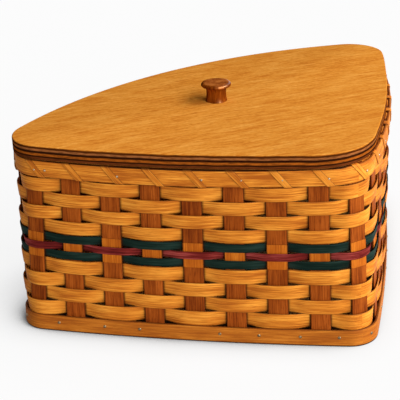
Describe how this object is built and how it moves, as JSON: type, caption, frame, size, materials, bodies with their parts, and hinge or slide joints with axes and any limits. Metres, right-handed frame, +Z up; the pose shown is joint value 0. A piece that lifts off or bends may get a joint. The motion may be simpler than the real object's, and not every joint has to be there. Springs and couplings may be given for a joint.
{
  "type": "corner basket",
  "caption": "Lidded corner basket of woven flat reed: two nearly straight walls and one curved wall on a wooden base, a lashed rim, a coloured stripe and a loose plywood lid with a knob.",
  "frame": {"origin": "middle of the whole object's box in plan, on the surface it stands on", "axes": "+Z up; one nearly straight wall lies along X on the -Y side, the square corner is at +X, -Y, and the curved wall faces -X, +Y"},
  "size_m": [0.3538, 0.3542, 0.2109],
  "materials": {
    "honey_reed": "satin honey stain",
    "walnut_reed": "satin walnut stain",
    "green_reed": "dyed dark green",
    "red_reed": "dyed burgundy",
    "band_wood": "satin honey stain",
    "base_ply": "plain plywood",
    "lid_ply": "satin honey stain on plywood",
    "cleat_wood": "plain wood",
    "knob_wood": "gloss chestnut stain",
    "screw_steel": "zinc plated"
  },
  "bodies": {
    "basket": {"base_board": "base_ply", "stake_01": "walnut_reed", "stake_02": "walnut_reed", "stake_03": "walnut_reed", "stake_04": "walnut_reed", "stake_05": "walnut_reed", "stake_06": "walnut_reed", "stake_07": "walnut_reed", "stake_08": "walnut_reed", "stake_09": "walnut_reed", "stake_10": "walnut_reed", "stake_11": "walnut_reed", "stake_12": "walnut_reed", "stake_13": "walnut_reed", "stake_14": "walnut_reed", "stake_15": "walnut_reed", "stake_16": "walnut_reed", "stake_17": "walnut_reed", "stake_18": "walnut_reed", "stake_19": "walnut_reed", "stake_20": "walnut_reed", "stake_21": "walnut_reed", "stake_22": "walnut_reed", "stake_23": "walnut_reed", "stake_24": "walnut_reed", "stake_25": "walnut_reed", "stake_26": "walnut_reed", "stake_27": "walnut_reed", "stake_28": "walnut_reed", "stake_29": "walnut_reed", "stake_30": "walnut_reed", "bottom_band": "band_wood", "lower_weaver_1": "honey_reed", "lower_weaver_2": "honey_reed", "lower_weaver_3": "honey_reed", "lower_weaver_4": "honey_reed", "lower_green_weaver": "green_reed", "red_weaver": "red_reed", "upper_green_weaver": "green_reed", "upper_weaver_1": "honey_reed", "upper_weaver_2": "honey_reed", "upper_weaver_3": "honey_reed", "upper_weaver_4": "honey_reed", "rim_outer_band": "honey_reed", "rim_inner_band": "honey_reed", "rim_lashing": "honey_reed"},
    "lid": {"lid_board": "lid_ply", "lid_cleat_front": "cleat_wood", "lid_cleat_side": "cleat_wood", "lid_cleat_curve": "cleat_wood", "knob": "knob_wood", "knob_screw": "screw_steel"}
  },
  "joints": [
    {"name": "lid_lift", "type": "slide", "parent": "basket", "child": "lid", "axis": [0, 0, 1], "range_m": [0, 0.15]}
  ]
}
